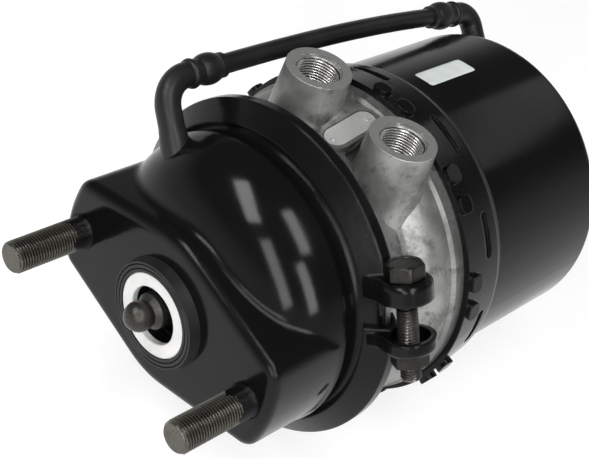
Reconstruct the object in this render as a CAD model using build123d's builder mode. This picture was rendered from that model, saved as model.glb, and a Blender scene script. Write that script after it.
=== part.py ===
from build123d import *
from math import atan, atan2, cos, degrees, hypot, pi, radians, sin, sqrt, tan
import os

os.makedirs("parts", exist_ok=True)

# Combination brake cylinder for a disc brake: a service chamber in front, a spring chamber behind.
# Millimetres and degrees. Y runs along the push rod to the rear, X joins the two mounting studs,
# Z points out of the two air ports. The origin is the centre of the mounting face between the studs.
# Angles round the long axis start at +X and turn towards +Z. "r" is a distance from the long axis.

# Mounting
stud_spacing = 120.65
stud_radius = 8.0
stud_reach = 41.3
stud_tip_chamfer = 1.1
stud_shank_radius = 8.3
stud_hole_gap = 0.2
stud_head_radius = 9.4
stud_head_thickness = 5.0

# Pressed front shell
shell_wall = 3.5
shell_radius = 73.9
dome_arc_radius = 43.0
dome_arc_r = 32.0
dome_arc_y = 53.0
dome_front_y = dome_arc_y - dome_arc_radius
pad_half_width = 43.0
pad_side_slope = 0.275
pad_ridge_radius = 45.0
pad_corner_radius = 9.0
pad_edge_radius = 5.0
pad_valley_radius = 4.0
shoulder_y = 45.0
neck_r = 72.4
neck_y = 50.5
drain_angle = -0.3
drain_y = 37.3
drain_length = 6.6
drain_width = 1.7

# Clamped rims and the V band round them
clamp_y = 64.5
rim_radius = 80.0
bead_thickness = 3.0
rim_thickness = 2.8
flank_angle = 37.0
rim_foot_r = 74.3
band_wall = 2.5
band_clearance = 0.1
band_crest_r = 86.4
band_lip_r = 76.2
joint_angle = 29.5
clamp_bolt_r = 93.5
clamp_bolt_radius = 5.0
clamp_bolt_hole_gap = 0.3
clamp_head_across = 16.4
clamp_nut_across = 16.0
head_top_s = 22.3
head_seat_s = 15.0
upper_ear_open_s = 5.4
lower_ear_open_s = -12.8
nut_seat_s = -19.7
nut_end_s = -26.4
bolt_end_s = -34.3
ear_radius = 12.6
ear_wall = 2.6
ear_edge_radius = 2.6
ear_waist_radius = 8.0
ear_root_half_width = 9.8
upper_band_end_gap = 8.5
lower_band_end_gap = 7.5

# Diaphragm
diaphragm_thickness = 3.0

# Cast flange between the two chambers
neck_outer_r = 73.0
dish_r = 69.5
dish_floor_y = 89.8
dish_corner = 7.0
dish_mouth_r = 71.5
middle_wall = 14.0
flare_start_y = 91.5
flare_end_y = 108.0
flare_start_r = 74.0
flare_end_r = 81.2
rim_step_y = 111.5
flange_rim_r = 83.4
crimp_y = 136.5
skirt_end_y = 143.0
chamber_clearance = 0.3
push_tube_radius = 18.0

# Air ports
port_x = 28.53
port_y = 96.06
port_top_z = 93.02
port_rim_radius = 16.34
port_taper = 0.069
port_thread_radius = 11.0
port_thread_depth = 15.0
port_mouth_radius = 11.81
port_mouth_depth = 2.2
port_passage_radius = 4.5
port_passage_z = 58.0
boss_flare_z = 66.0
boss_flare_radius = 16.0
boss_foot_z = 45.0

# Nameplate land between the ports
plate_length = 29.6
plate_width = 11.6
plate_thickness = 0.8
plate_tilt = 13.0
plate_centre_y = 95.6
plate_centre_z = 77.9
plate_gap = 0.5
land_margin = 2.3
plate_rivet_radius = 1.3
plate_rivet_height = 0.5
plate_rivet_spacing = 22.4

# Pressed spring housing
housing_wall = 3.0
lip_y = 118.4
lip_r = 86.7
crease_y = 146.0
crease_r = 84.0
barrel_y = 150.5
barrel_r = 80.75
shoulder_end_y = 238.0
shoulder_radius = 4.5
cone_front_r = 72.0
cone_rear_r = 36.0
cone_end_y = 272.0
cone_corner = 10.0
recess_r = 21.0
recess_floor_y = 240.0
slot_count = 10
slot_length = 23.0
slot_width = 4.6
slot_depth = 1.6
bump_offset = 5.0
bump_width = 9.6
bump_length = 8.0
bump_corner = 3.6
bump_r = 89.3

# Spring brake inside the rear housing
stroke = 64.0
piston_clearance = 0.5
piston_thickness = 5.0
piston_skirt = 16.0
piston_stop_gap = 1.5
push_tube_wall = 4.0
power_wire_radius = 6.2
power_rear_r = 45.0
power_turns = 3.5
seal_section = 2.4

# Release bolt
release_radius = 9.0
release_pitch = 2.0
release_head_across = 24.0
release_head_y = 310.0
release_head_length = 15.0
release_nut_across = 32.0
release_collar_radius = 11.6
release_collar_length = 4.0
thrust_ring_radius = 13.0
thrust_ring_thickness = 3.6
running_gap = 0.05

# Push rod
plate_radius = 50.0
plate_sheet = 3.0
rod_radius = 8.75
ball_radius = 7.3
ball_centre_y = -12.5
rod_lean = 1.64
rod_lean_direction = 112.2

# Front seal, its white ring and the bellows behind it
seal_outer_r = 27.5
seal_front_r = 26.5
seal_front_y = -5.5
seal_hole_r = 24.0
ring_outer_r = 21.35
ring_inner_r = 14.39
ring_front_y = -5.08
ring_thickness = 3.2
bellows_folds = 5
bellows_outer_r = 20.0
bellows_inner_r = 14.8
bellows_wall = 1.6
bellows_length = 36.0
bellows_collar = 5.0

# Return spring
return_wire_radius = 2.0
return_front_r = 32.5
return_rear_r = 25.0
return_turns = 4.5

# Vent hose and its rubber elbows, in one plane through the long axis
vent_angle = 133.0
vent_route = [(62.0, 100.2), (105.0, 99.8), (155.0, 98.4), (200.0, 95.4), (242.0, 90.9)]
hose_radius = 5.0
hose_bore_radius = 3.0
elbow_radius = 6.3
elbow_rib_radius = 7.4
elbow_rib_length = 4.0
elbow_barrel_radius = 7.9
elbow_barrel_length = 12.0
elbow_lip_radius = 6.2
elbow_lip_length = 3.0
elbow_waist = 3.0
elbow_skirt_radius = 7.3
elbow_skirt_height = 11.0
elbow_plug_radius = 3.7
elbow_socket = 12.0
elbow_bore_radius = 2.5
elbow_root = 9.0
front_foot = (34.0, 70.3)
front_corner_y = 37.3
front_bend = 15.0
rear_foot = (264.0, 44.5)
rear_corner_y = 264.6
rear_bend = 9.5


def station(y):
    """Plane across the long axis at y, with its local axes along X and Z and its normal forward."""
    return Plane.XZ.offset(-y)


def meridian(angle):
    """Plane through the long axis, with local x outward at that angle and local y along Y."""
    a = radians(angle)
    return Plane(origin=(0, 0, 0), x_dir=(cos(a), 0, sin(a)), z_dir=(-sin(a), 0, cos(a)))


def spoke(angle, y, r):
    """Plane that faces outward at that angle, with local x along Y."""
    a = radians(angle)
    return Plane(origin=(r * cos(a), y, r * sin(a)), x_dir=(0, 1, 0), z_dir=(cos(a), 0, sin(a)))


def finish(piece, name):
    """Label a finished piece and write it out."""
    piece.label = name
    export_step(piece, f"parts/{name}.step")


def flank(r, offset=0.0):
    """Distance along Y from the clamp's centre plane to the rims' sloped flank at radius r."""
    foot = bead_thickness / 2 + rim_thickness
    return foot + (rim_radius - r) * tan(radians(flank_angle)) + offset / cos(radians(flank_angle))


def pad_outline(inset):
    """Lozenge face of the mounting pad, drawn in by inset, clipped by the shell's round side."""
    ridge = pad_ridge_radius - inset
    corner = pad_corner_radius - inset
    round_r = shell_radius - inset
    lean = atan(pad_side_slope)
    ridge_centre = pad_half_width - pad_ridge_radius
    side = ridge_centre * cos(lean) + ridge
    along = sqrt((round_r - corner) ** 2 - (side - corner) ** 2)
    corner_x = (side - corner) * sin(lean) + along * cos(lean)
    corner_z = (side - corner) * cos(lean) - along * sin(lean)
    grow = round_r / (round_r - corner)
    ridge_end = (ridge * sin(lean), ridge_centre + ridge * cos(lean))
    side_end = (corner_x + corner * sin(lean), corner_z + corner * cos(lean))
    with BuildSketch() as outline:
        with BuildLine():
            RadiusArc((0, ridge_centre + ridge), ridge_end, ridge)
            Line(ridge_end, side_end)
            RadiusArc(side_end, (corner_x * grow, corner_z * grow), corner)
            RadiusArc((corner_x * grow, corner_z * grow), (round_r, 0), round_r)
            mirror(about=Plane.YZ)
            mirror(about=Plane.XZ)
        make_face()
    return outline.sketch


def shell_form(inset):
    """Solid form of the pressed front shell, drawn in by inset: 0 outside, the wall inside."""
    arc_radius = dome_arc_radius - inset
    shoulder_r = dome_arc_r + sqrt(arc_radius**2 - (dome_arc_y - shoulder_y) ** 2)
    rear_y = clamp_y - bead_thickness / 2
    arc_mid = radians(50)
    with BuildPart() as form:
        with BuildSketch(Plane.XY):
            with BuildLine():
                start = (0, dome_front_y + inset)
                tangent = (dome_arc_r, dome_front_y + inset)
                mid = (dome_arc_r + arc_radius * sin(arc_mid), dome_arc_y - arc_radius * cos(arc_mid))
                end = (shoulder_r, shoulder_y)
                Line(start, tangent)
                ThreePointArc(tangent, mid, end)
                if inset == 0:
                    Line(end, (neck_r, neck_y))
                    Line((neck_r, neck_y), (neck_r, clamp_y - flank(rim_foot_r) - 1.5))
                    Line((neck_r, clamp_y - flank(rim_foot_r) - 1.5), (rim_foot_r, clamp_y - flank(rim_foot_r)))
                    Line((rim_foot_r, clamp_y - flank(rim_foot_r)), (rim_radius, clamp_y - flank(rim_radius)))
                    Line((rim_radius, clamp_y - flank(rim_radius)), (rim_radius, rear_y))
                    Line((rim_radius, rear_y), (0, rear_y))
                else:
                    Line(end, (neck_r - inset, neck_y + inset))
                    Line((neck_r - inset, neck_y + inset), (neck_r - inset, rear_y))
                    Line((neck_r - inset, rear_y), (0, rear_y))
                Line((0, rear_y), start)
            make_face()
        revolve(axis=Axis.Y)
        with BuildSketch(station(shoulder_y)):
            add(pad_outline(inset))
        extrude(amount=shoulder_y - inset)
        seam = form.edges(Select.NEW)
        fillet(seam, radius=pad_valley_radius + inset)
        front = form.faces().sort_by(Axis.Y)[0].outer_wire().edges()
        fillet(front, radius=pad_edge_radius - inset)
    return form.part


# Front shell, pressed from sheet, with holes for the studs, the seal, the drain and the vent elbow
with BuildPart() as service_housing:
    add(shell_form(0))
    add(shell_form(shell_wall), mode=Mode.SUBTRACT)
    with BuildSketch(station(2 * shell_wall)):
        Circle(seal_hole_r)
        with Locations((-stud_spacing / 2, 0), (stud_spacing / 2, 0)):
            Circle(stud_shank_radius + stud_hole_gap)
    extrude(amount=3 * shell_wall, mode=Mode.SUBTRACT)
    with BuildSketch(spoke(drain_angle, drain_y, shell_radius - 2 * shell_wall)):
        SlotOverall(drain_length, drain_width, rotation=45)
    extrude(amount=4 * shell_wall, mode=Mode.SUBTRACT)
    with BuildSketch(spoke(vent_angle, front_foot[0], front_foot[1] - elbow_root)):
        Circle(elbow_plug_radius)
    extrude(amount=20, mode=Mode.SUBTRACT)
finish(service_housing.part, "service_housing")

# Mounting studs, headed inside the shell
for number, side in ((1, -1), (2, 1)):
    with BuildPart() as mounting_stud:
        with BuildSketch(station(shell_wall)):
            with Locations((side * stud_spacing / 2, 0)):
                Circle(stud_head_radius)
        extrude(amount=-stud_head_thickness)
        chamfer(mounting_stud.edges().filter_by(GeomType.CIRCLE), length=0.9)
        with BuildSketch(station(shell_wall)):
            with Locations((side * stud_spacing / 2, 0)):
                Circle(stud_shank_radius)
        extrude(amount=shell_wall)
        with BuildSketch(station(0)):
            with Locations((side * stud_spacing / 2, 0)):
                Circle(stud_radius)
        extrude(amount=stud_reach)
        chamfer(mounting_stud.edges().sort_by(Axis.Y)[0], length=stud_tip_chamfer)
    finish(mounting_stud.part, f"mounting_stud_{number}")

# Rubber seal in the front hole
seal_face = shell_wall + 2.3
ring_seat_y = ring_front_y + ring_thickness
seal_floor_r = ring_inner_r + 1.8
groove = 0.7
with BuildPart() as front_seal:
    with BuildSketch(Plane.XY):
        with BuildLine():
            Polyline(
                (seal_floor_r, ring_seat_y),
                (ring_outer_r, ring_seat_y),
                (ring_outer_r, seal_front_y),
                (ring_outer_r + 2 * groove, seal_front_y),
                (ring_outer_r + 2.5 * groove, seal_front_y + groove),
                (ring_outer_r + 3 * groove, seal_front_y),
                (ring_outer_r + 5 * groove, seal_front_y),
                (ring_outer_r + 5.5 * groove, seal_front_y + groove),
                (ring_outer_r + 6 * groove, seal_front_y),
                (seal_front_r, seal_front_y),
                (seal_outer_r, 0),
                (seal_hole_r, 0),
                (seal_hole_r, shell_wall),
                (seal_outer_r - 0.7, shell_wall),
                (seal_outer_r - 0.7, seal_face),
                (seal_floor_r, seal_face),
                (seal_floor_r, ring_seat_y),
            )
        make_face()
    revolve(axis=Axis.Y)
finish(front_seal.part, "front_seal")

# White plastic ring held in the seal
with BuildPart() as guide_ring:
    with BuildSketch(Plane.XY):
        with Locations(((ring_inner_r + ring_outer_r - 0.1) / 2, (ring_front_y + ring_seat_y) / 2)):
            Rectangle(ring_outer_r - 0.1 - ring_inner_r, ring_thickness)
    revolve(axis=Axis.Y)
    fillet(guide_ring.edges().group_by(Axis.Y)[0], radius=0.6)
finish(guide_ring.part, "guide_ring")

# Push rod: it leans a little in its seal, about the middle of the push plate
plate_rear_y = dish_floor_y - chamber_clearance - diaphragm_thickness - 0.2
plate_front_y = plate_rear_y - plate_sheet
lean_side = radians(rod_lean_direction)
rod_lean_rad = radians(rod_lean)
rod_dir = (
    sin(rod_lean_rad) * cos(lean_side),
    -cos(rod_lean_rad),
    sin(rod_lean_rad) * sin(lean_side),
)
rod_length = (plate_front_y - ball_centre_y) / cos(rod_lean_rad)
rod_plane = Plane(origin=(0, plate_front_y, 0), x_dir=(1, 0, 0), z_dir=rod_dir)
ball_neck = sqrt(ball_radius**2 - (ball_radius - 1.4) ** 2)
with BuildPart() as push_rod:
    with BuildSketch(rod_plane.offset(-plate_sheet + 0.4)):
        Circle(rod_radius)
    extrude(amount=rod_length + plate_sheet - 0.4 - ball_neck)
    tip = push_rod.faces().sort_by(Axis.Y)[0]
    chamfer(tip.edges(), length=rod_radius - ball_radius + 1.0)
    with Locations(rod_plane.offset(rod_length)):
        Sphere(ball_radius)
finish(push_rod.part, "push_rod")

# Push plate with the collar that holds the rod
rod_hole = rod_radius + 0.5
with BuildPart() as push_plate:
    with BuildSketch(Plane.XY):
        with BuildLine():
            Polyline(
                (rod_hole, plate_rear_y),
                (plate_radius, plate_rear_y),
                (plate_radius, plate_front_y),
                (return_rear_r - return_wire_radius - 1, plate_front_y),
                (return_rear_r - return_wire_radius - 2, plate_front_y - 1.5),
                (rod_hole + 4, plate_front_y - 1.5),
                (rod_hole, plate_front_y - 5),
                (rod_hole, plate_rear_y),
            )
        make_face()
    revolve(axis=Axis.Y)
    fillet(push_plate.edges().filter_by(lambda e: e.length > 2 * pi * (plate_radius - 1)), radius=1.2)
finish(push_plate.part, "push_plate")

# Bellows from the seal to the rod
fold = bellows_length / bellows_folds
bellows_end = seal_face + bellows_length
folds_out = []
folds_in = []
for step in range(2 * bellows_folds + 1):
    r = bellows_inner_r if step % 2 == 0 else bellows_outer_r
    folds_out.append((r, seal_face + step * fold / 2))
    folds_in.append((r - bellows_wall, seal_face + step * fold / 2))
collar_in = rod_radius - 2
with BuildPart() as bellows:
    with BuildSketch(Plane.XY):
        with BuildLine():
            Polyline(
                *folds_out,
                (bellows_inner_r, bellows_end + bellows_collar),
                (collar_in, bellows_end + bellows_collar),
                (collar_in, bellows_end),
                *reversed(folds_in),
                close=True,
            )
        make_face()
    revolve(axis=Axis.Y)
    with BuildSketch(rod_plane):
        Circle(rod_radius)
    extrude(amount=rod_length, mode=Mode.SUBTRACT)
finish(bellows.part, "bellows")

# Diaphragm clamped between the two rims, its cup laid into the flange's dish
bead_front = clamp_y - bead_thickness / 2
bead_rear = clamp_y + bead_thickness / 2
cup_back_r = dish_r - chamber_clearance
cup_back_y = dish_floor_y - chamber_clearance
with BuildPart() as diaphragm:
    with BuildSketch(Plane.XY):
        with BuildLine():
            FilletPolyline(
                (0, cup_back_y),
                (cup_back_r, cup_back_y),
                (cup_back_r, bead_rear),
                (rim_radius - 0.5, bead_rear),
                radius=[dish_corner, 1.5],
            )
            Polyline(
                (rim_radius - 0.5, bead_rear),
                (rim_radius - 0.5, bead_front),
                (cup_back_r - 0.5, bead_front),
                (cup_back_r - diaphragm_thickness, bead_rear),
            )
            FilletPolyline(
                (cup_back_r - diaphragm_thickness, bead_rear),
                (cup_back_r - diaphragm_thickness, cup_back_y - diaphragm_thickness),
                (0, cup_back_y - diaphragm_thickness),
                radius=dish_corner - diaphragm_thickness,
            )
            Line((0, cup_back_y - diaphragm_thickness), (0, cup_back_y))
        make_face()
    revolve(axis=Axis.Y)
finish(diaphragm.part, "diaphragm")

# Conical return spring round the bellows
spring_front_y = shell_wall + return_wire_radius + 0.1
spring_rear_y = plate_front_y - return_wire_radius - 0.1
spring_rise = spring_rear_y - spring_front_y
with BuildPart() as return_spring:
    with BuildLine():
        coil = Helix(
            pitch=spring_rise / return_turns,
            height=spring_rise,
            radius=return_front_r,
            center=(0, spring_front_y, 0),
            direction=(0, 1, 0),
            cone_angle=-degrees(atan2(return_front_r - return_rear_r, spring_rise)),
        )
    with BuildSketch(Plane(origin=coil @ 0, z_dir=coil % 0)):
        Circle(return_wire_radius)
    sweep(is_frenet=True)
finish(return_spring.part, "return_spring")

# V band that clamps the two rims, in two halves joined by two bolts
band_inner_crest = band_crest_r - band_wall
crest_half = flank(band_crest_r, band_clearance + band_wall)
inner_half = flank(band_inner_crest, band_clearance)
lip_half = flank(band_lip_r, band_clearance + band_wall)
lip_slope = radians(flank_angle)
lip_inner_r = band_lip_r - band_wall * sin(lip_slope)
lip_inner_half = lip_half - band_wall * cos(lip_slope)


def joint_plane(angle, s):
    """Plane across a clamp bolt at distance s along it, with local x outward and local y along Y."""
    a = radians(angle)
    x = clamp_bolt_r * cos(a) - s * sin(a)
    z = clamp_bolt_r * sin(a) + s * cos(a)
    return Plane(origin=(x, clamp_y, z), x_dir=(cos(a), 0, sin(a)), z_dir=(-sin(a), 0, cos(a)))


def ear_outline(shrink):
    """Face of a clamp ear round its bolt, running in to the band, drawn in by shrink."""
    root = clamp_bolt_r - band_lip_r - 0.6
    with BuildSketch() as outline:
        Circle(ear_radius - shrink)
        with Locations((-root / 2, 0)):
            Rectangle(root, 2 * (ear_root_half_width - shrink))
        waist = outline.vertices().filter_by(lambda v: -root + 1 < v.X < -1)
        fillet(waist, radius=ear_waist_radius + shrink)
    return outline.sketch


def ear(joint, seat_s, open_s):
    """Pressed cup that a clamp bolt pulls on: closed where the head or nut seats, open to the gap."""
    inward = 1 if seat_s > open_s else -1
    depth = abs(seat_s - open_s)
    bolt_line = Axis(joint_plane(joint, 0).origin, joint_plane(joint, 0).z_dir)
    with BuildPart() as cup:
        with BuildSketch(joint_plane(joint, seat_s)):
            add(ear_outline(0))
        extrude(amount=-inward * depth)
        seat_face = cup.faces().sort_by(bolt_line)[-1 if inward == 1 else 0]
        root_edge = seat_face.edges().sort_by(lambda e: hypot(e.center().X, e.center().Z))[0]
        fillet(seat_face.edges() - [root_edge], radius=ear_edge_radius)
        with BuildSketch(joint_plane(joint, seat_s - inward * ear_wall)):
            add(ear_outline(ear_wall))
        extrude(amount=-inward * depth, mode=Mode.SUBTRACT)
        with BuildSketch(joint_plane(joint, seat_s + inward)):
            Circle(clamp_bolt_radius + clamp_bolt_hole_gap)
        extrude(amount=-inward * (ear_wall + 2), mode=Mode.SUBTRACT)
    return cup.part


def band_half(first_joint, second_joint):
    """Half of the V band, with the ear for the bolt head at one end and for the nut at the other."""
    start = first_joint + upper_band_end_gap
    end = second_joint - lower_band_end_gap
    with BuildPart() as band:
        add(ear(first_joint, head_seat_s, upper_ear_open_s))
        add(ear(second_joint, nut_seat_s, lower_ear_open_s))
        with BuildSketch(meridian(end)):
            with BuildLine():
                Polyline(
                    (lip_inner_r, clamp_y - lip_inner_half),
                    (band_lip_r, clamp_y - lip_half),
                    (band_crest_r, clamp_y - crest_half),
                    (band_crest_r, clamp_y + crest_half),
                    (band_lip_r, clamp_y + lip_half),
                    (lip_inner_r, clamp_y + lip_inner_half),
                    close=True,
                )
            make_face()
        revolve(axis=Axis.Y, revolution_arc=end - start)
        with BuildSketch(Plane.XY):
            with BuildLine():
                Polyline(
                    (neck_r, clamp_y - lip_half),
                    (lip_inner_r, clamp_y - lip_inner_half),
                    (band_inner_crest, clamp_y - inner_half),
                    (band_inner_crest, clamp_y + inner_half),
                    (lip_inner_r, clamp_y + lip_inner_half),
                    (neck_r, clamp_y + lip_half),
                    close=True,
                )
            make_face()
        revolve(axis=Axis.Y, mode=Mode.SUBTRACT)
    return band.part


def hexagon(plane, across, height):
    """Hexagon head or nut that stands on a plane, its corners turned down at both ends."""
    with BuildPart() as head:
        with BuildSketch(plane):
            RegularPolygon(across / 2, 6, major_radius=False, rotation=30)
        extrude(amount=height)
        with BuildSketch(plane):
            Circle(across / 2 * 1.13)
        extrude(amount=height, mode=Mode.INTERSECT)
    return head.part


for number, joint in ((1, joint_angle), (2, joint_angle + 180)):
    bolt_line = Axis(joint_plane(joint, 0).origin, joint_plane(joint, 0).z_dir)
    finish(band_half(joint, joint + 180), f"clamp_band_{number}")

    with BuildPart() as clamp_bolt:
        with BuildSketch(joint_plane(joint, bolt_end_s)):
            Circle(clamp_bolt_radius)
        extrude(amount=head_seat_s - bolt_end_s)
        chamfer(clamp_bolt.faces().sort_by(bolt_line)[0].edges(), length=0.9)
        add(hexagon(joint_plane(joint, head_seat_s), clamp_head_across, head_top_s - head_seat_s))
    finish(clamp_bolt.part, f"clamp_bolt_{number}")

    with BuildPart() as clamp_nut:
        add(hexagon(joint_plane(joint, nut_end_s), clamp_nut_across, nut_seat_s - nut_end_s))
        with BuildSketch(joint_plane(joint, nut_end_s)):
            Circle(clamp_bolt_radius)
        extrude(amount=nut_seat_s - nut_end_s, mode=Mode.SUBTRACT)
    finish(clamp_nut.part, f"clamp_nut_{number}")

# Cast flange: dish of the service chamber in front, bore of the spring chamber behind, wall between
chamber_r = barrel_r - housing_wall
wall_rear_y = dish_floor_y + middle_wall
housing_slope = (crease_r - lip_r) / (crease_y - lip_y)


def housing_outer_r(y):
    """Outer radius of the spring housing's flared band at y."""
    return lip_r + housing_slope * (y - lip_y)


crimp_inner_r = housing_outer_r(crimp_y) - housing_wall
skirt_r = housing_outer_r(crease_y) - housing_wall - chamber_clearance
groove_half = slot_width / 2 + 1.5
plate_lean = radians(plate_tilt)
plate_plane = Plane(
    origin=(0, plate_centre_y, plate_centre_z),
    x_dir=(0, cos(plate_lean), sin(plate_lean)),
    z_dir=(0, -sin(plate_lean), cos(plate_lean)),
)
flange_rim_front = clamp_y + bead_thickness / 2
with BuildPart() as flange:
    with BuildSketch(Plane.XY):
        with BuildLine():
            Polyline(
                (0, flange_rim_front),
                (rim_radius, flange_rim_front),
                (rim_radius, clamp_y + flank(rim_radius)),
                (rim_foot_r, clamp_y + flank(rim_foot_r)),
                (neck_outer_r, clamp_y + flank(rim_foot_r) + 2.5),
                (neck_outer_r, flare_start_y - 2.5),
                (flare_start_r, flare_start_y),
            )
            ThreePointArc(
                (flare_start_r, flare_start_y),
                (flare_start_r + 4.7, (flare_start_y + flare_end_y) / 2 - 1.5),
                (flare_end_r, flare_end_y),
            )
            Polyline(
                (flare_end_r, flare_end_y),
                (flare_end_r + 0.3, rim_step_y),
                (flange_rim_r, rim_step_y + 1.2),
                (flange_rim_r, lip_y + 2.5),
                (crimp_inner_r + 0.1, crimp_y - groove_half - 1),
                (crimp_inner_r + 0.1, crimp_y - groove_half),
                (crimp_inner_r - 1.8, crimp_y - groove_half),
                (crimp_inner_r - 1.8, crimp_y + groove_half),
                (skirt_r, crimp_y + groove_half),
                (skirt_r, skirt_end_y),
                (0, skirt_end_y),
                (0, flange_rim_front),
            )
        make_face()
    revolve(axis=Axis.Y)
    for side in (-1, 1):
        with BuildSketch(Plane(origin=(side * port_x, port_y, 0), x_dir=(1, 0, 0), z_dir=(0, -1, 0))):
            with BuildLine():
                flare_top_r = port_rim_radius + port_taper * (port_top_z - boss_flare_z)
                foot_r = flare_top_r + boss_flare_radius * 0.55
                Line((0, port_top_z), (port_rim_radius, port_top_z))
                Line((port_rim_radius, port_top_z), (flare_top_r, boss_flare_z))
                ThreePointArc(
                    (flare_top_r, boss_flare_z),
                    (flare_top_r + boss_flare_radius * 0.13, boss_flare_z - boss_flare_radius * 0.62),
                    (foot_r, boss_flare_z - boss_flare_radius * 1.15),
                )
                Line((foot_r, boss_flare_z - boss_flare_radius * 1.15), (0, boss_foot_z))
                Line((0, boss_foot_z), (0, port_top_z))
            make_face()
        revolve(axis=Axis((side * port_x, port_y, 0), (0, 0, 1)))
    with BuildSketch(plate_plane.offset(0.4)):
        SlotOverall(plate_length + 2 * land_margin, plate_width + 2 * land_margin)
    extrude(amount=-14)
    # Hollows of the casting: pocket beside the land, dish, spring bore, bore of the push tube
    with BuildSketch(Plane.XY.offset(69.8)):
        with BuildLine():
            near = plate_width / 2 + land_margin + 0.3
            FilletPolyline((near, 99), (near, 84.5), (20, 84.5), (14, 99), radius=2.2, close=True)
        make_face()
    pocket = extrude(amount=12, mode=Mode.PRIVATE)
    add(pocket, mode=Mode.SUBTRACT)
    with BuildSketch(Plane.XY):
        with BuildLine():
            Polyline(
                (0, dish_floor_y),
                (0, flange_rim_front - 1),
                (dish_mouth_r, flange_rim_front - 1),
                (dish_mouth_r, flange_rim_front),
                (dish_r, flange_rim_front + 2.5),
            )
            FilletPolyline(
                (dish_r, flange_rim_front + 2.5),
                (dish_r, dish_floor_y),
                (0, dish_floor_y),
                radius=dish_corner,
            )
        make_face()
    revolve(axis=Axis.Y, mode=Mode.SUBTRACT)
    with BuildSketch(station(skirt_end_y)):
        Circle(chamber_r)
    extrude(amount=skirt_end_y - wall_rear_y, mode=Mode.SUBTRACT)
    with BuildSketch(station(wall_rear_y)):
        Circle(push_tube_radius + running_gap)
    extrude(amount=middle_wall, mode=Mode.SUBTRACT)
    with BuildSketch(station(dish_floor_y + middle_wall / 2 + 1.5)):
        Circle(push_tube_radius + 3)
    extrude(amount=3, mode=Mode.SUBTRACT)
    # Air ports: counterbored mouth, thread bore, passage down, then forward or rearward
    for side in (-1, 1):
        with BuildSketch(Plane.XY.offset(port_top_z)):
            with Locations((side * port_x, port_y)):
                Circle(port_mouth_radius)
        extrude(amount=-port_mouth_depth, mode=Mode.SUBTRACT)
        with BuildSketch(Plane.XY.offset(port_top_z)):
            with Locations((side * port_x, port_y)):
                Circle(port_thread_radius)
        extrude(amount=-port_mouth_depth - port_thread_depth, mode=Mode.SUBTRACT)
        with BuildSketch(Plane.XY.offset(port_top_z)):
            with Locations((side * port_x, port_y)):
                Circle(port_passage_radius)
        extrude(amount=port_passage_z - port_top_z - port_passage_radius, mode=Mode.SUBTRACT)
        with BuildSketch(station(port_y)):
            with Locations((side * port_x, port_passage_z)):
                Circle(port_passage_radius - 0.6)
        extrude(amount=-side * middle_wall, mode=Mode.SUBTRACT)
    # Shallow seat of the nameplate
    with BuildSketch(plate_plane.offset(-plate_thickness)):
        SlotOverall(plate_length + 2 * plate_gap, plate_width + 2 * plate_gap)
    extrude(amount=4, mode=Mode.SUBTRACT)
finish(flange.part, "flange")

# Bare nameplate and its two rivets
with BuildPart() as nameplate:
    with BuildSketch(plate_plane.offset(-plate_thickness)):
        SlotOverall(plate_length, plate_width)
        with Locations((-plate_rivet_spacing / 2, 0), (plate_rivet_spacing / 2, 0)):
            Circle(plate_rivet_radius, mode=Mode.SUBTRACT)
    extrude(amount=plate_thickness)
finish(nameplate.part, "nameplate")
for number, side in ((1, -1), (2, 1)):
    with BuildPart() as nameplate_rivet:
        with BuildSketch(plate_plane.offset(-plate_thickness)):
            with Locations((side * plate_rivet_spacing / 2, 0)):
                Circle(plate_rivet_radius)
        extrude(amount=plate_thickness)
        with BuildSketch(plate_plane):
            with Locations((side * plate_rivet_spacing / 2, 0)):
                Circle(plate_rivet_radius + 0.3)
        extrude(amount=plate_rivet_height, taper=30)
    finish(nameplate_rivet.part, f"nameplate_rivet_{number}")

# Seal of the push tube in the middle wall
with BuildPart() as push_tube_seal:
    with BuildSketch(Plane.XY):
        with Locations((push_tube_radius + 1.5, dish_floor_y + middle_wall / 2)):
            Rectangle(2.8, 2.8)
    revolve(axis=Axis.Y)
finish(push_tube_seal.part, "push_tube_seal")


def housing_profile(inset):
    """Points of the spring housing's section from the lip to the recess, drawn in by inset."""
    fall = (cone_front_r - cone_rear_r) / (cone_end_y - shoulder_end_y)
    cone_inset = inset * (hypot(1, fall) - fall)
    return [
        (lip_r - inset, lip_y),
        (crease_r - inset, crease_y),
        (barrel_r - inset, barrel_y),
        (barrel_r - inset, shoulder_end_y - inset),
        (cone_front_r - cone_inset, shoulder_end_y - inset),
        (cone_rear_r - cone_inset, cone_end_y - inset),
        (recess_r + inset, cone_end_y - inset),
        (recess_r + inset, recess_floor_y - inset),
        (release_radius + 6, recess_floor_y - inset),
    ]


def housing_form():
    """The spring housing's outside as one filled form."""
    with BuildPart() as form:
        with BuildSketch(Plane.XY):
            with BuildLine():
                outside = FilletPolyline(
                    *housing_profile(0)[:6],
                    (0, cone_end_y),
                    radius=[6, 3, shoulder_radius, 4, cone_corner],
                )
                Polyline(outside @ 1, (0, lip_y), outside @ 0)
            make_face()
        revolve(axis=Axis.Y)
    return form.part


def ring_pieces(angles, y, low_r, high_r, length, width):
    """Round-ended blocks at several angles, between two radii: length round the axis, width along it."""
    with BuildPart() as blocks:
        for angle in angles:
            with BuildSketch(spoke(angle, y, low_r - 5)):
                SlotOverall(length, width, rotation=90)
            extrude(amount=high_r - low_r + 10)
        with BuildSketch(Plane.XY):
            with Locations(((low_r + high_r) / 2, y)):
                Rectangle(high_r - low_r, 2 * width)
        revolve(axis=Axis.Y, mode=Mode.INTERSECT)
    return blocks.part


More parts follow.
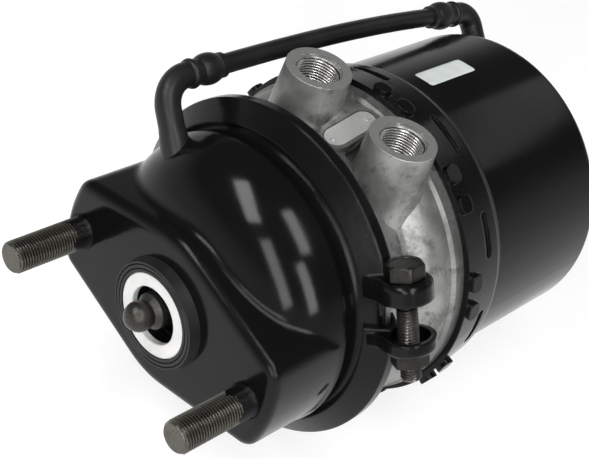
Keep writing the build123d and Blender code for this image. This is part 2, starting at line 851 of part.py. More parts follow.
# Spring housing, pressed over the flange and held by crimps, with bumps round its lip
slot_angles = [360 / slot_count * k for k in range(slot_count)]
pair_angles = [angle + 180 / slot_count for angle in slot_angles]
with BuildPart() as spring_housing:
    with BuildSketch(Plane.XY):
        with BuildLine():
            FilletPolyline(
                *housing_profile(0),
                radius=[6, 3, shoulder_radius, 4, cone_corner, 4, 2],
            )
            FilletPolyline(
                *housing_profile(housing_wall),
                radius=[3, 6, shoulder_radius - housing_wall, 7, cone_corner - housing_wall, 7, 5],
            )
            Line(housing_profile(0)[0], housing_profile(housing_wall)[0])
            Line(housing_profile(0)[-1], housing_profile(housing_wall)[-1])
        make_face()
    revolve(axis=Axis.Y)
    crimp_r = housing_outer_r(crimp_y)
    add(ring_pieces(slot_angles, crimp_y, crimp_inner_r - 1.2, crimp_inner_r + 1, slot_length - 3, slot_width - 1))
    add(
        ring_pieces(slot_angles, crimp_y, crimp_r - slot_depth, crimp_r + 5, slot_length, slot_width),
        mode=Mode.SUBTRACT,
    )
    for pair in pair_angles:
        for offset_angle in (-bump_offset, bump_offset):
            with BuildSketch(spoke(pair + offset_angle, lip_y + bump_length / 2, lip_r - housing_wall + 0.2)):
                RectangleRounded(bump_length, bump_width, bump_corner)
            extrude(amount=bump_r - lip_r + housing_wall - 0.2)
    with BuildSketch(spoke(vent_angle, rear_foot[0], rear_foot[1] - elbow_root)):
        Circle(elbow_plug_radius)
    extrude(amount=20, mode=Mode.SUBTRACT)
finish(spring_housing.part, "spring_housing")


# Spring piston with its push tube: held back, so its disc stands off the middle wall by one stroke
piston_front_y = wall_rear_y + stroke + piston_stop_gap
piston_r = chamber_r - piston_clearance
ring_land = 12.0
stop_front_y = piston_front_y + thrust_ring_thickness + 0.2
tube_front_y = dish_floor_y + 0.5
seal_y = piston_front_y + 3.2
guide_y = piston_front_y + 8.8
with BuildPart() as spring_piston:
    with BuildSketch(Plane.XY):
        with BuildLine():
            Polyline(
                (0, tube_front_y),
                (push_tube_radius, tube_front_y),
                (push_tube_radius, piston_front_y - 6),
                (push_tube_radius + 4, piston_front_y),
                (piston_r, piston_front_y),
                (piston_r, seal_y - seal_section / 2),
                (piston_r - seal_section, seal_y - seal_section / 2),
                (piston_r - seal_section, seal_y + seal_section / 2),
                (piston_r, seal_y + seal_section / 2),
                (piston_r, guide_y - seal_section / 2),
                (piston_r - seal_section / 2, guide_y - seal_section / 2),
                (piston_r - seal_section / 2, guide_y + seal_section / 2),
                (piston_r, guide_y + seal_section / 2),
                (piston_r, piston_front_y + ring_land),
                (piston_r - 5, piston_front_y + ring_land),
                (piston_r - 7, piston_front_y + piston_thickness),
                (push_tube_radius, piston_front_y + piston_thickness),
                (push_tube_radius, stop_front_y + 6),
                (release_radius + 0.6, stop_front_y + 6),
                (release_radius + 0.6, stop_front_y),
                (push_tube_radius - push_tube_wall, stop_front_y),
                (push_tube_radius - push_tube_wall, tube_front_y + push_tube_wall),
                (0, tube_front_y + push_tube_wall),
                close=True,
            )
        make_face()
    revolve(axis=Axis.Y)
finish(spring_piston.part, "spring_piston")

# Piston seal and guide band in their grooves
for name, ring_y, inner_r in (
    ("piston_seal", seal_y, piston_r - seal_section),
    ("piston_guide", guide_y, piston_r - seal_section / 2),
):
    with BuildPart() as piston_ring:
        with BuildSketch(Plane.XY):
            with Locations(((inner_r + chamber_r) / 2, ring_y)):
                Rectangle(chamber_r - inner_r - 0.1, seal_section - 0.1)
        revolve(axis=Axis.Y)
    finish(piston_ring.part, name)

# Power spring, conical, squeezed between the piston and the end of the housing
power_front_y = piston_front_y + piston_thickness + power_wire_radius + 0.2
power_rear_y = shoulder_end_y - housing_wall - power_wire_radius - 0.2
power_rise = power_rear_y - power_front_y
power_front_r = piston_r - 7 - power_wire_radius - 1
with BuildPart() as power_spring:
    with BuildLine():
        coil = Helix(
            pitch=power_rise / power_turns,
            height=power_rise,
            radius=power_front_r,
            center=(0, power_front_y, 0),
            direction=(0, 1, 0),
            cone_angle=-degrees(atan2(power_front_r - power_rear_r, power_rise)),
        )
    with BuildSketch(Plane(origin=coil @ 0, z_dir=coil % 0)):
        Circle(power_wire_radius)
    sweep(is_frenet=True)
finish(power_spring.part, "power_spring")

# Nut of the release bolt, set in the floor of the recess
nut_end_y = release_head_y - stroke - 0.5
with BuildPart() as release_nut:
    with BuildSketch(station(recess_floor_y)):
        RegularPolygon(release_nut_across / 2, 6, major_radius=False)
    extrude(amount=recess_floor_y - nut_end_y)
    with BuildSketch(station(recess_floor_y)):
        Circle(release_radius + 6)
    extrude(amount=housing_wall + 0.1)
    with BuildSketch(station(recess_floor_y - housing_wall - 0.1)):
        Circle(release_radius + 9)
    extrude(amount=4)
    with BuildSketch(station(nut_end_y)):
        Circle(release_radius + running_gap)
    extrude(amount=30, mode=Mode.SUBTRACT)
finish(release_nut.part, "release_nut")

# Release bolt, wound out, with the collar and the thrust ring that hold the piston back
collar_rear_y = stop_front_y - thrust_ring_thickness - 0.3
with BuildPart() as release_bolt:
    with BuildSketch(station(collar_rear_y)):
        Circle(release_collar_radius)
    extrude(amount=release_collar_length)
    with BuildSketch(station(release_head_y)):
        Circle(release_radius)
    extrude(amount=release_head_y - collar_rear_y)
    add(hexagon(station(release_head_y + release_head_length), release_head_across, release_head_length))
finish(release_bolt.part, "release_bolt")
with BuildPart() as thrust_ring:
    with BuildSketch(station(stop_front_y - 0.1)):
        Circle(thrust_ring_radius)
        Circle(release_radius + running_gap, mode=Mode.SUBTRACT)
    extrude(amount=thrust_ring_thickness)
finish(thrust_ring.part, "thrust_ring")

# Vent hose between the chambers, and the rubber elbows that plug it into both housings
vent_x = cos(radians(vent_angle))
vent_z = sin(radians(vent_angle))
vent_plane = Plane(origin=(0, 0, 0), x_dir=(0, 1, 0), z_dir=(vent_z, 0, -vent_x))


def hose_radii(route):
    """Arc radius at each inner point of a route: as large as its two runs allow."""
    radii = []
    for before, here, after in zip(route, route[1:], route[2:]):
        run_in = hypot(here[0] - before[0], here[1] - before[1])
        run_out = hypot(after[0] - here[0], after[1] - here[1])
        turn = abs(atan2(after[1] - here[1], after[0] - here[0]) - atan2(here[1] - before[1], here[0] - before[0]))
        radii.append(0.45 * min(run_in, run_out) / tan(turn / 2))
    return radii


print("hose radii", [round(r) for r in hose_radii(vent_route)])
with BuildPart() as vent_hose:
    with BuildLine(vent_plane):
        hose_path = FilletPolyline(*vent_route, radius=hose_radii(vent_route))
    with BuildSketch(Plane(origin=hose_path @ 0, z_dir=hose_path % 0)):
        Circle(hose_radius)
        Circle(hose_bore_radius, mode=Mode.SUBTRACT)
    sweep()
hose_section = pi * (hose_radius**2 - hose_bore_radius**2)
print("hose", vent_hose.part.volume, hose_section * hose_path.length)
finish(vent_hose.part, "vent_hose")


def elbow(foot, corner_y, bend, end, toward):
    """Rubber elbow in the vent plane: a flared foot, leg and bend, then rib and barrel on the hose."""
    slope = (end[1] - toward[1]) / (end[0] - toward[0])
    corner = (corner_y, end[1] + slope * (corner_y - end[0]))
    away = 1 if toward[0] > end[0] else -1
    run = away / hypot(1, slope)
    mouth = (end[0] + run * elbow_socket, end[1] + slope * run * elbow_socket)
    leg = hypot(corner[0] - foot[0], corner[1] - foot[1])
    rise = ((corner[0] - foot[0]) / leg, (corner[1] - foot[1]) / leg)
    root = (foot[0] - elbow_root * rise[0], foot[1] - elbow_root * rise[1])
    mouth_plane = Plane(
        origin=vent_plane.from_local_coords(Vector(*mouth, 0)),
        x_dir=vent_plane.from_local_coords(Vector(-run, -slope * run, 0)),
        z_dir=vent_plane.z_dir,
    )
    root_plane = Plane(
        origin=vent_plane.from_local_coords(Vector(*root, 0)),
        x_dir=vent_plane.from_local_coords(Vector(*rise, 0)),
        z_dir=vent_plane.z_dir,
    )
    barrel_end = elbow_lip_length + elbow_barrel_length
    rib_start = barrel_end + elbow_waist
    rib_end = rib_start + elbow_rib_length
    with BuildPart() as body:
        with BuildLine(vent_plane):
            path = FilletPolyline(root, corner, mouth, radius=bend)
        with BuildSketch(Plane(origin=path @ 0, z_dir=path % 0)):
            Circle(elbow_radius)
        sweep()
        with BuildSketch(mouth_plane):
            with BuildLine():
                Polyline(
                    (0, 0),
                    (0, elbow_lip_radius - 0.7),
                    (0.7, elbow_lip_radius),
                    (elbow_lip_length, elbow_lip_radius),
                )
                ThreePointArc(
                    (elbow_lip_length, elbow_lip_radius),
                    ((elbow_lip_length + barrel_end) / 2, elbow_barrel_radius),
                    (barrel_end, elbow_radius + 0.2),
                )
                Line((barrel_end, elbow_radius + 0.2), (rib_start, elbow_radius + 0.2))
                ThreePointArc(
                    (rib_start, elbow_radius + 0.2),
                    ((rib_start + rib_end) / 2, elbow_rib_radius),
                    (rib_end, elbow_radius - 0.2),
                )
                Polyline((rib_end, elbow_radius - 0.2), (rib_end, 0), (0, 0))
            make_face()
        revolve(axis=Axis(mouth_plane.origin, mouth_plane.x_dir))
        with BuildSketch(root_plane):
            with BuildLine():
                Polyline(
                    (0, 0),
                    (0, elbow_skirt_radius),
                    (elbow_root, elbow_skirt_radius),
                    (elbow_root + elbow_skirt_height, elbow_radius - 0.2),
                    (elbow_root + elbow_skirt_height, 0),
                    close=True,
                )
            make_face()
        revolve(axis=Axis(root_plane.origin, root_plane.x_dir))
    return body.part


def elbow_bore(foot, corner_y, bend, end, toward):
    """Air way and hose socket inside an elbow."""
    slope = (end[1] - toward[1]) / (end[0] - toward[0])
    corner = (corner_y, end[1] + slope * (corner_y - end[0]))
    away = 1 if toward[0] > end[0] else -1
    run = away / hypot(1, slope)
    mouth = (end[0] + run * (elbow_socket + 1), end[1] + slope * run * (elbow_socket + 1))
    leg = hypot(corner[0] - foot[0], corner[1] - foot[1])
    rise = ((corner[0] - foot[0]) / leg, (corner[1] - foot[1]) / leg)
    root = (foot[0] - 2 * elbow_root * rise[0], foot[1] - 2 * elbow_root * rise[1])
    with BuildPart() as bore:
        with BuildLine(vent_plane):
            path = FilletPolyline(root, corner, end, radius=bend)
        with BuildSketch(Plane(origin=path @ 0, z_dir=path % 0)):
            Circle(elbow_bore_radius)
        sweep()
        with BuildLine(vent_plane):
            socket = Line(end, mouth)
        with BuildSketch(Plane(origin=socket @ 0, z_dir=socket % 0)):
            Circle(hose_radius)
        extrude(amount=elbow_socket + 1)
    return bore.part


front_vent = (front_foot, front_corner_y, front_bend, vent_route[0], vent_route[1])
with BuildPart() as elbow_front:
    add(elbow(*front_vent))
    add(shell_form(0), mode=Mode.SUBTRACT)
    with BuildSketch(spoke(vent_angle, front_foot[0], front_foot[1] - elbow_root)):
        Circle(elbow_plug_radius)
    extrude(amount=elbow_root + 2)
    add(elbow_bore(*front_vent), mode=Mode.SUBTRACT)
finish(elbow_front.part, "elbow_front")

rear_vent = (rear_foot, rear_corner_y, rear_bend, vent_route[-1], vent_route[-2])
with BuildPart() as elbow_rear:
    add(elbow(*rear_vent))
    add(housing_form(), mode=Mode.SUBTRACT)
    with BuildSketch(spoke(vent_angle, rear_foot[0], rear_foot[1] - elbow_root)):
        Circle(elbow_plug_radius)
    extrude(amount=elbow_root + 2)
    add(elbow_bore(*rear_vent), mode=Mode.SUBTRACT)
finish(elbow_rear.part, "elbow_rear")
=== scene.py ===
from math import atan2, cos, pi, radians, sin, sqrt

import bpy
from mathutils import Matrix, Vector


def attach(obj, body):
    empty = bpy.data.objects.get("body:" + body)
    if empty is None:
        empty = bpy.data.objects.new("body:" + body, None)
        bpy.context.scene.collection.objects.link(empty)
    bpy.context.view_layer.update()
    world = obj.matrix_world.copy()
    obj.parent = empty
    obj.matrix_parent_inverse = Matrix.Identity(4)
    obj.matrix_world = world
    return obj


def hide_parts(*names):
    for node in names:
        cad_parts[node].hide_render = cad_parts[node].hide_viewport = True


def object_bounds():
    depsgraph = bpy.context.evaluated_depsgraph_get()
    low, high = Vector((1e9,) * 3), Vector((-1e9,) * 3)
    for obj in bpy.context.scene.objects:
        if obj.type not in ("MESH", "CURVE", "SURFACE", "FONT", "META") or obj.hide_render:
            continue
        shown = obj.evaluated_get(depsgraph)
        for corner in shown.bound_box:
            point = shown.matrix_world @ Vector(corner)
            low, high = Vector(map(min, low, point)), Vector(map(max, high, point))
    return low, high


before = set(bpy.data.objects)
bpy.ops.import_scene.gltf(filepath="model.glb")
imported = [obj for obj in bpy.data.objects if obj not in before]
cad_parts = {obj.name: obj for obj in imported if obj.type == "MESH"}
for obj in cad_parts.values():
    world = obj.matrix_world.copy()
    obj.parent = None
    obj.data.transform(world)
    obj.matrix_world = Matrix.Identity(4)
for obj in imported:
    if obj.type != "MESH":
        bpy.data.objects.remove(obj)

cad_low, cad_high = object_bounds()
MM = 0.001

# Places and sizes shared with the solids, in mm
stud_x = 60.325
port_x, port_y = 28.53, 96.06
port_top_z, port_mouth_depth, port_thread_depth = 93.02, 2.2, 15.0
port_thread_radius = 11.0
port_thread_foot_z = port_top_z - port_mouth_depth - port_thread_depth
clamp_bolt_angles = (29.5, 209.5)
clamp_bolt_radius, clamp_bolt_y = 93.5, 64.5
barrel_radius = 80.75
thread_pitch = 1.5

# Camera: the photograph's place, direction and roll in the object's own frame
camera_right = Vector((0.6623, 0.6990, 0.2698))
camera_up = Vector((-0.6159, 0.3029, 0.7273))
camera_forward = Vector((-0.4267, 0.6478, -0.6311))
camera_place = Vector((0.2705, -0.3298, 0.4190))

camera_data = bpy.data.cameras.new("photo_camera")
camera_data.lens = 78.87
camera_data.sensor_width = 36.0
camera_data.clip_start = 0.01
camera_data.clip_end = 50.0
camera = bpy.data.objects.new("photo_camera", camera_data)
bpy.context.scene.collection.objects.link(camera)
turn = Matrix((camera_right, camera_up, -camera_forward)).transposed().to_4x4()
camera.matrix_world = Matrix.Translation(camera_place) @ turn
bpy.context.scene.camera = camera
bpy.context.scene.view_settings.view_transform = "Standard"


# Materials
class Net:
    """A material under construction: its nodes, its shader and the object's own coordinates."""

    def __init__(self, name, **shader):
        self.material = bpy.data.materials.new(name)
        self.material.use_nodes = True
        self.tree = self.material.node_tree
        self.shader = self.tree.nodes["Principled BSDF"]
        self.place = self.add("ShaderNodeTexCoord").outputs["Object"]
        for socket, value in shader.items():
            self.shader.inputs[socket.replace("_", " ")].default_value = value

    def add(self, kind, **settings):
        node = self.tree.nodes.new(kind)
        for name, value in settings.items():
            setattr(node, name, value)
        return node

    def link(self, source, target):
        self.tree.links.new(source, target)

    def feed(self, target, value):
        if hasattr(value, "links"):
            self.link(value, target)
        else:
            target.default_value = value

    def noise(self, scale, detail=2.0, rough=0.5, place=None):
        node = self.add("ShaderNodeTexNoise")
        self.link(place or self.place, node.inputs["Vector"])
        node.inputs["Scale"].default_value = scale
        node.inputs["Detail"].default_value = detail
        node.inputs["Roughness"].default_value = rough
        return node.outputs["Fac"]

    def cells(self, scale, feature="F1"):
        node = self.add("ShaderNodeTexVoronoi", feature=feature)
        self.link(self.place, node.inputs["Vector"])
        node.inputs["Scale"].default_value = scale
        return node

    def span(self, value, low, high, to_low=0.0, to_high=1.0):
        """A value from low to high, turned smoothly into one from to_low to to_high."""
        node = self.add("ShaderNodeMapRange", interpolation_type="SMOOTHSTEP")
        self.feed(node.inputs["Value"], value)
        node.inputs["From Min"].default_value = low
        node.inputs["From Max"].default_value = high
        node.inputs["To Min"].default_value = to_low
        node.inputs["To Max"].default_value = to_high
        return node.outputs["Result"]

    def math(self, operation, a, b=0.0):
        node = self.add("ShaderNodeMath", operation=operation)
        self.feed(node.inputs[0], a)
        self.feed(node.inputs[1], b)
        return node.outputs[0]

    def mix(self, share, a, b):
        """Colours a and b mixed by share."""
        node = self.add("ShaderNodeMix", data_type="RGBA")
        self.feed(node.inputs["Factor"], share)
        for socket, value in ((node.inputs[6], a), (node.inputs[7], b)):
            self.feed(socket, value if hasattr(value, "links") else (*value, 1.0))
        return node.outputs[2]

    def distance(self, a, b):
        """Length of the line across two directions."""
        squares = (self.math("MULTIPLY", side, side) for side in (a, b))
        return self.math("SQRT", self.math("ADD", *squares))

    def parts(self):
        """The object's own x, y and z."""
        node = self.add("ShaderNodeSeparateXYZ")
        self.link(self.place, node.inputs[0])
        return node.outputs

    def colour(self, value):
        self.link(value, self.shader.inputs["Base Color"])

    def rough(self, value):
        self.link(value, self.shader.inputs["Roughness"])

    def bump(self, *layers, rounding=0.0):
        """Layers of (height, depth), one on another, on edges rounded by a radius, in metres."""
        normal = None
        if rounding:
            edge = self.add("ShaderNodeBevel", samples=6)
            edge.inputs["Radius"].default_value = rounding
            normal = edge.outputs["Normal"]
        for height, depth in layers:
            node = self.add("ShaderNodeBump")
            node.inputs["Distance"].default_value = depth
            self.link(height, node.inputs["Height"])
            if normal:
                self.link(normal, node.inputs["Normal"])
            normal = node.outputs["Normal"]
        self.link(normal, self.shader.inputs["Normal"])


def paint(name, colour=(0.0030, 0.0030, 0.0032), rough=0.12, peel=0.00002, dust=0.5, rounding=0.001):
    """Gloss black stove enamel with orange peel, fine dust and slow changes of gloss."""
    net = Net(name, Specular_IOR_Level=0.16)
    cloud = net.noise(22.0, 3.0)
    fine = net.noise(900.0, 3.0, 0.6)
    specks = net.cells(620.0)
    chosen = net.span(specks.outputs["Color"], 0.86, 0.9)
    speck = net.math("MULTIPLY", net.span(specks.outputs["Distance"], 0.16, 0.07), chosen)
    lint = net.math("MULTIPLY", speck, net.span(cloud, 0.35, 0.7, 0.1, dust))
    base = net.mix(cloud, colour, tuple(1.7 * c for c in colour))
    net.colour(net.mix(lint, base, (0.10, 0.10, 0.095)))
    gloss = net.span(cloud, 0.3, 0.7, rough, rough + 0.06)
    net.rough(net.math("ADD", gloss, net.math("MULTIPLY", lint, 0.4)))
    net.bump((net.noise(260.0, 1.0), peel), (fine, 0.000004), rounding=rounding)
    return net


def cast_metal():
    """Sand-cast aluminium, with turned faces and bores at the ports, painted shade in the roots of the
    port threads, and bright high spots.
    """
    net = Net("cast_aluminium", Metallic=0.8)
    x, y, z = net.parts()
    cloud = net.noise(34.0, 4.0, 0.55)
    grain = net.noise(1500.0, 4.0, 0.7)
    pits = net.span(net.noise(420.0, 3.0, 0.6), 0.36, 0.28)
    sideways = net.math("SUBTRACT", net.math("ABSOLUTE", x), port_x * MM)
    lengthways = net.math("SUBTRACT", y, port_y * MM)
    off_axis = net.distance(sideways, lengthways)
    face = net.span(z, 0.0927, 0.09285)
    bore = net.math("MULTIPLY", net.span(off_axis, 0.0122, 0.0120), net.span(z, 0.070, 0.072))
    turned = net.math("MAXIMUM", face, bore)
    rings = net.math("SINE", net.math("MULTIPLY", off_axis, 2 * pi / 0.00035))
    stain = net.noise(70.0, 5.0, 0.7)
    cast = net.mix(net.span(cloud, 0.35, 0.65), (0.17, 0.17, 0.163), (0.36, 0.36, 0.352))
    cast = net.mix(net.span(stain, 0.50, 0.66, 0.0, 0.7), cast, (0.085, 0.085, 0.078))
    cast = net.mix(net.math("MULTIPLY", pits, 0.55), cast, (0.12, 0.12, 0.115))
    cast = net.mix(net.span(grain, 0.55, 0.75, 0.0, 0.30), cast, (0.55, 0.55, 0.54))
    # Painted shade: the roots of the port threads, below the mouth, turn dark.
    root_shade = net.math("MULTIPLY", net.span(off_axis, 0.0103, 0.0107), net.span(z, 0.0909, 0.0907))
    cut = net.mix(net.math("MULTIPLY", root_shade, bore), (0.55, 0.545, 0.53), (0.06, 0.058, 0.055))
    net.colour(net.mix(turned, cast, cut))
    net.rough(net.span(turned, 0.0, 1.0, 0.44, 0.26))
    depth = net.math("MULTIPLY", net.math("SUBTRACT", 1.0, turned), grain)
    net.bump((net.noise(230.0, 3.0), 0.00006), (depth, 0.00010),
             (net.math("MULTIPLY", rings, turned), 0.000006))
    return net


def steel(name, colour, rough, spread=0.12, metallic=0.9, tint=None, tint_share=0.4, grain=700.0,
          depth=0.00002, valley_shade=None):
    """Bare or oxidised metal: uneven tone, a second tint in clouds, grain, painted shade in thread
    valleys.
    """
    net = Net(name, Metallic=metallic)
    cloud = net.noise(75.0, 4.0, 0.6)
    fine = net.noise(grain, 4.0, 0.65)
    dark, light = (tuple(share * c for c in colour) for share in (0.7, 1.25))
    base = net.mix(net.span(fine, 0.3, 0.7), dark, light)
    tint = tint or tuple(0.6 * c for c in colour)
    base = net.mix(net.span(cloud, 0.42, 0.66, 0.0, tint_share), base, tint)
    # Painted shade: the colour goes much darker in the thread valleys.
    if valley_shade:
        base = net.mix(valley_shade(net), base, tuple(0.18 * c for c in colour))
    net.colour(base)
    net.rough(net.span(cloud, 0.3, 0.7, rough, rough + spread))
    net.bump((fine, depth))
    return net


def rubber(name, colour, rough, grain=1300.0, depth=0.00003, sheen=0.04):
    """Black rubber with a fine moulded skin and pale bloom in clouds."""
    net = Net(name, Specular_IOR_Level=0.3, Sheen_Weight=sheen, Sheen_Roughness=0.5)
    cloud = net.noise(60.0, 3.0)
    skin = net.noise(grain, 3.0, 0.6)
    net.colour(net.mix(net.span(cloud, 0.35, 0.7), colour, tuple(1.8 * c for c in colour)))
    net.rough(net.span(skin, 0.3, 0.7, rough - 0.06, rough + 0.08))
    net.bump((skin, depth), (net.noise(240.0, 2.0), 0.00003))
    return net


def plastic(name, colour, shade, rough):
    """Smooth moulded plastic with faint clouds of a second shade."""
    net = Net(name, Specular_IOR_Level=0.45, Subsurface_Weight=0.12, Subsurface_Scale=0.002)
    cloud = net.noise(90.0, 3.0)
    net.colour(net.mix(net.span(cloud, 0.35, 0.75), colour, shade))
    net.rough(net.span(net.noise(600.0), 0.3, 0.7, rough, rough + 0.08))
    net.bump((net.noise(900.0, 2.0), 0.00001))
    return net


def stud_valley_shade(net):
    """Share of painted shade in the thread valleys of both studs, by the distance from their axes, up to
    the chamfer.
    """
    x, y, z = net.parts()
    across = net.math("SUBTRACT", net.math("ABSOLUTE", x), stud_x * MM)
    root_shade = net.span(net.distance(across, z), 0.0077, 0.0072)
    return net.math("MULTIPLY", root_shade, net.span(y, -0.0395, -0.0385))


def hollow_shade(net):
    """Share of painted shade wherever the surface is hollow, as in thread valleys."""
    return net.span(net.add("ShaderNodeNewGeometry").outputs["Pointiness"], 0.49, 0.44)


shell_paint = paint("shell_paint", rounding=0.003)
housing_paint = paint("housing_paint", rough=0.14, dust=0.8, rounding=0.0012)
clamp_paint = paint("clamp_paint", rough=0.14, peel=0.00004, rounding=0.0018)
cast = cast_metal()
# Painted shade darkens the thread valleys of the studs and of the clamp bolts' thread ends.
stud_metal = steel("stud_steel", (0.105, 0.100, 0.086), 0.30, tint=(0.07, 0.055, 0.040), tint_share=0.4,
                   valley_shade=stud_valley_shade)
oxide = steel("oxide_steel", (0.028, 0.027, 0.025), 0.28, tint=(0.055, 0.05, 0.042), tint_share=0.4)
worn_oxide = steel("worn_oxide_steel", (0.20, 0.19, 0.18), 0.24, tint=(0.06, 0.058, 0.052),
                   tint_share=0.7, valley_shade=hollow_shade)
bare = steel("bare_steel", (0.30, 0.29, 0.27), 0.30, tint=(0.16, 0.13, 0.10))
nose_metal = steel("nose_steel", (0.060, 0.059, 0.053), 0.34, tint=(0.035, 0.031, 0.026), tint_share=0.6)
spring_metal = steel("spring_steel", (0.07, 0.07, 0.075), 0.40)
inner_cast = steel("piston_aluminium", (0.50, 0.50, 0.49), 0.42, metallic=0.75)
plate_metal = steel("plate_aluminium", (0.56, 0.56, 0.55), 0.36, metallic=0.6, tint=(0.45, 0.45, 0.45),
                    grain=2600.0, depth=0.000008)
seal_rubber = rubber("seal_rubber", (0.0045, 0.0045, 0.0045), 0.45, sheen=0.02)
elbow_rubber = rubber("elbow_rubber", (0.0062, 0.0062, 0.0060), 0.42, sheen=0.01)
hose_rubber = rubber("hose_rubber", (0.0055, 0.0055, 0.0056), 0.36, depth=0.000015, sheen=0.02)
ring_plastic = plastic("ring_plastic", (0.72, 0.72, 0.71), (0.62, 0.62, 0.60), 0.34)
label_paper = plastic("label_paper", (0.66, 0.66, 0.65), (0.58, 0.58, 0.57), 0.5)

material_nodes = {
    shell_paint: ("service_housing",),
    housing_paint: ("spring_housing",),
    clamp_paint: ("clamp_band_1", "clamp_band_2"),
    cast: ("flange",),
    stud_metal: ("mounting_stud_1", "mounting_stud_2"),
    oxide: ("clamp_bolt_1", "clamp_bolt_2", "clamp_nut_1", "clamp_nut_2", "release_bolt"),
    bare: ("push_plate", "release_nut", "thrust_ring"),
    nose_metal: ("push_rod",),
    spring_metal: ("return_spring", "power_spring"),
    inner_cast: ("spring_piston",),
    plate_metal: ("nameplate", "nameplate_rivet_1", "nameplate_rivet_2"),
    seal_rubber: ("front_seal", "bellows", "diaphragm", "push_tube_seal", "piston_seal"),
    elbow_rubber: ("elbow_front", "elbow_rear"),
    hose_rubber: ("vent_hose",),
    ring_plastic: ("guide_ring", "piston_guide"),
}
for net, names in material_nodes.items():
    for name in names:
        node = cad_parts[name]
        node.data.materials.clear()
        node.data.materials.append(net.material)


# Turned and threaded pieces
def piece(name, verts, faces, material, body="chamber", sharp=35.0):
    mesh = bpy.data.meshes.new(name)
    mesh.from_pydata(verts, [], faces)
    mesh.update()
    mesh.materials.append(material.material)
    obj = bpy.data.objects.new(name, mesh)
    bpy.context.scene.collection.objects.link(obj)
    for polygon in mesh.polygons:
        polygon.use_smooth = True
    mesh.set_sharp_from_angle(angle=radians(sharp))
    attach(obj, body)
    return obj


def turned(name, base, along, across, rows, around, material, body="chamber", closed=True, sharp=35.0):
    """A piece of rings along a line: rows holds (distance, radius or radius at an angle), in mm."""
    along = Vector(along).normalized()
    across = Vector(across).normalized()
    third = along.cross(across)
    base = Vector(base)
    verts = []
    for s, radius in rows:
        for k in range(around):
            a = 2 * pi * k / around
            r = radius(a) if callable(radius) else radius
            verts.append((base + along * s + (across * cos(a) + third * sin(a)) * r) * MM)
    faces = []
    for i in range(len(rows) - 1):
        for k in range(around):
            n = (k + 1) % around
            faces.append((i * around + k, i * around + n, (i + 1) * around + n, (i + 1) * around + k))
    if closed:
        faces.append(tuple(reversed(range(around))))
        faces.append(tuple((len(rows) - 1) * around + k for k in range(around)))
    return piece(name, verts, faces, material, body, sharp)


def thread(crest, depth, start, end, limit=None, steps=8):
    """Rows of a screw thread from start to end, its crest no further out than limit(s)."""
    count = int(abs(end - start) / thread_pitch * steps)
    rows = []
    for i in range(count + 1):
        s = start + (end - start) * i / count

        def radius(a, s=s):
            phase = (s / thread_pitch - a / (2 * pi)) % 1.0
            flank = min(1.0, abs(2 * phase - 1) * 1.25)
            r = crest - depth * flank
            return min(r, limit(s)) if limit else r

        rows.append((s, radius))
    return rows


def hexagonal(across_flats, cut):
    """Radius of a hexagon at an angle, its corners held inside the radius cut."""
    def radius(a):
        off = (a + pi / 6) % (pi / 3) - pi / 6
        return min(across_flats / 2 / cos(off), cut)
    return radius


# Mounting studs: rolled fine thread, a chamfered end, and the shell's paint over the foot
for number, side in ((1, -1), (2, 1)):
    rows = [(-8.5, 9.0), (-8.3, 9.4), (-3.6, 9.4), (-3.6, 8.3), (0.0, 8.3), (0.0, 8.0), (0.9, 8.0)]
    rows += thread(8.0, 0.92, 1.5, 41.3, lambda s: 8.0 - max(0.0, s - 40.0) * 0.95)
    rows += [(41.3, 5.5)]
    base = (side * stud_x, 0, 0)
    stud = turned(f"stud_thread_{number}", base, (0, -1, 0), (1, 0, 0), rows, 48, stud_metal)
    stud.data.materials.append(shell_paint.material)
    for polygon in stud.data.polygons:
        centre = polygon.center / MM
        around = atan2(centre.z, centre.x - side * stud_x)
        paint_edge = 9.0 + 1.2 * sin(3 * around + number) + 0.7 * sin(7 * around)
        if -centre.y < paint_edge:
            polygon.material_index = 1
    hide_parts(f"mounting_stud_{number}")

# Port threads, cut into the wall of each bore
for number, side in ((1, 1), (2, -1)):
    rows = thread(port_thread_radius - 0.02, 0.95, 0.0, port_thread_depth)
    base = (side * port_x, port_y, port_thread_foot_z)
    port = turned(f"port_thread_{number}", base, (0, 0, 1), (1, 0, 0), rows, 64, cast, closed=False)
    port.data.flip_normals()

# Clamp bolts: chamfered hexagon head, rolled thread
for number, degrees in enumerate(clamp_bolt_angles, 1):
    angle = radians(degrees)
    along = (-sin(angle), 0, cos(angle))
    base = (clamp_bolt_radius * cos(angle), clamp_bolt_y, clamp_bolt_radius * sin(angle))
    rows = [(-34.3, 3.7)]
    rows += thread(5.0, 0.85, -34.3, 2.0, lambda s: min(5.0, 4.1 + (s + 34.3) * 0.9))
    rows += [(2.2, 4.95), (15.0, 4.95), (15.0, 7.6), (15.5, 7.75)]
    rows += [(15.5, hexagonal(16.4, 9.2)), (16.0, hexagonal(16.4, 9.47)), (21.2, hexagonal(16.4, 9.47)),
             (21.8, hexagonal(16.4, 8.9)), (22.3, hexagonal(16.4, 8.1)), (22.3, 6.2), (22.0, 5.9)]
    outward = (cos(angle), 0, sin(angle))
    bolt = turned(f"clamp_screw_{number}", base, along, outward, rows, 72, oxide)
    bolt.data.materials.append(worn_oxide.material)
    for polygon in bolt.data.polygons:
        centre = polygon.center / MM
        if (centre - Vector(base)).dot(Vector(along)) < 0:
            polygon.material_index = 1
    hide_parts(f"clamp_bolt_{number}")

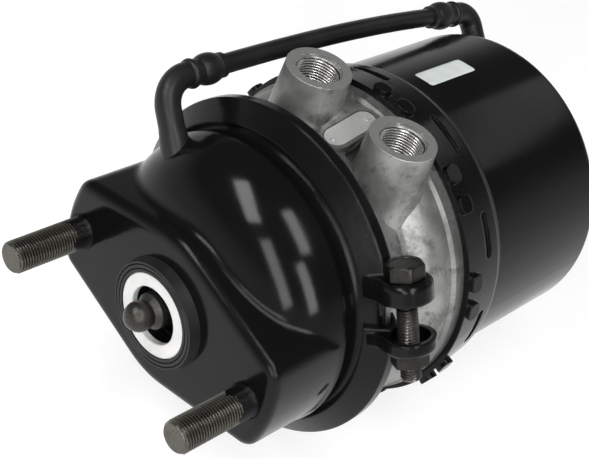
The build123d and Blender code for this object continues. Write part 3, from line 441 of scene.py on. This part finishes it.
# White label on the spring housing, left bare
label_length, label_width, label_corner = 35.8, 12.4, 1.5
label_angle, label_y = 97.65, 178.4
label_radius = barrel_radius + 0.14
verts, faces = [], []
steps_y, steps_w = 28, 12
for i in range(steps_y + 1):
    t = -cos(pi * i / steps_y) * label_length / 2
    past = max(0.0, abs(t) - (label_length / 2 - label_corner))
    half = label_width / 2 - label_corner + sqrt(max(0.0, label_corner**2 - past**2))
    for k in range(steps_w + 1):
        w = (2 * k / steps_w - 1) * half
        a = radians(label_angle) - w / barrel_radius
        verts.append(Vector((label_radius * cos(a), label_y + t, label_radius * sin(a))) * MM)
for i in range(steps_y):
    for k in range(steps_w):
        a = i * (steps_w + 1) + k
        faces.append((a, a + 1, a + steps_w + 2, a + steps_w + 1))
label = piece("label", verts, faces, label_paper)
thick = label.modifiers.new("thick", "SOLIDIFY")
thick.thickness = 0.0001
thick.offset = 0.0

# Floor, lamps and world
floor_mesh = bpy.data.meshes.new("floor")
floor_z = cad_low.z - 0.0005
floor_half = 15
corners = [(x * floor_half, y * floor_half, floor_z) for x, y in ((-1, -1), (1, -1), (1, 1), (-1, 1))]
floor_mesh.from_pydata(corners, [], [(0, 1, 2, 3)])
floor = bpy.data.objects.new("floor", floor_mesh)
bpy.context.scene.collection.objects.link(floor)
floor_net = Net("floor_surface", Roughness=0.85, Specular_IOR_Level=0.1)
ray = floor_net.add("ShaderNodeLightPath")
seen = ray.outputs["Is Camera Ray"]
for kind in ("Is Glossy Ray", "Is Transmission Ray"):
    seen = floor_net.math("MAXIMUM", seen, ray.outputs[kind])
floor_net.colour(floor_net.mix(seen, (0.80, 0.80, 0.80), (0.35, 0.35, 0.35)))
floor_net.shader.inputs["Emission Color"].default_value = (1.0, 1.0, 1.0, 1.0)
floor_net.link(floor_net.math("MULTIPLY", seen, 0.74), floor_net.shader.inputs["Emission Strength"])
floor_mesh.materials.append(floor_net.material)


def lamp(name, size, power):
    """A rectangular lamp, not yet placed."""
    data = bpy.data.lights.new(name, "AREA")
    data.shape = "RECTANGLE"
    data.size, data.size_y = size
    data.energy = power
    obj = bpy.data.objects.new(name, data)
    bpy.context.scene.collection.objects.link(obj)
    return obj


def strip(name, first, last, width, power):
    """A long lamp seen from the part's middle between two directions."""
    middle = Vector((0.0, 0.05, 0.0))
    ends = [middle + Vector(way).normalized() * 1.25 for way in (first, last)]
    place = (ends[0] + ends[1]) / 2
    obj = lamp(name, ((ends[1] - ends[0]).length, width), power)
    along = (ends[1] - ends[0]).normalized()
    out = (place - middle).normalized()
    out = (out - along * out.dot(along)).normalized()
    turn = Matrix((along, out.cross(along), out)).transposed().to_4x4()
    obj.matrix_world = Matrix.Translation(place) @ turn


strip("left_strip", (-0.49, -0.29, 0.82), (-0.06, -0.67, 0.74), 0.27, 8.0)
strip("front_strip", (0.15, -0.72, 0.68), (0.69, -0.71, 0.17), 0.23, 6.0)
strip("top_strip", (0.11, -0.11, 0.99), (0.59, -0.18, 0.79), 0.26, 6.0)
strip("right_strip", (0.62, -0.38, 0.69), (0.93, -0.29, 0.21), 0.23, 5.5)
back = lamp("back_strip", (0.7, 0.20), 0.5)
back.data.color = (1.0, 0.99, 0.97)
back.location = (0.15, 1.05, 0.75)
back.rotation_mode = "QUATERNION"
back.rotation_quaternion = (Vector((0.0, 0.12, 0.0)) - back.location).to_track_quat("-Z", "Y")

world = bpy.data.worlds.new("studio")
bpy.context.scene.world = world
world.use_nodes = True
tree = world.node_tree
direction = tree.nodes.new("ShaderNodeTexCoord")
split = tree.nodes.new("ShaderNodeSeparateXYZ")
tree.links.new(direction.outputs["Generated"], split.inputs[0])
band = tree.nodes.new("ShaderNodeMapRange")
band.interpolation_type = "SMOOTHSTEP"
band.inputs["From Min"].default_value = 0.04
band.inputs["From Max"].default_value = 0.42
band.inputs["To Min"].default_value = 0.70
band.inputs["To Max"].default_value = 0.08
tree.links.new(split.outputs["Z"], band.inputs["Value"])
tree.links.new(band.outputs["Result"], tree.nodes["Background"].inputs["Strength"])
tree.nodes["Background"].inputs["Color"].default_value = (1.0, 1.0, 1.0, 1.0)
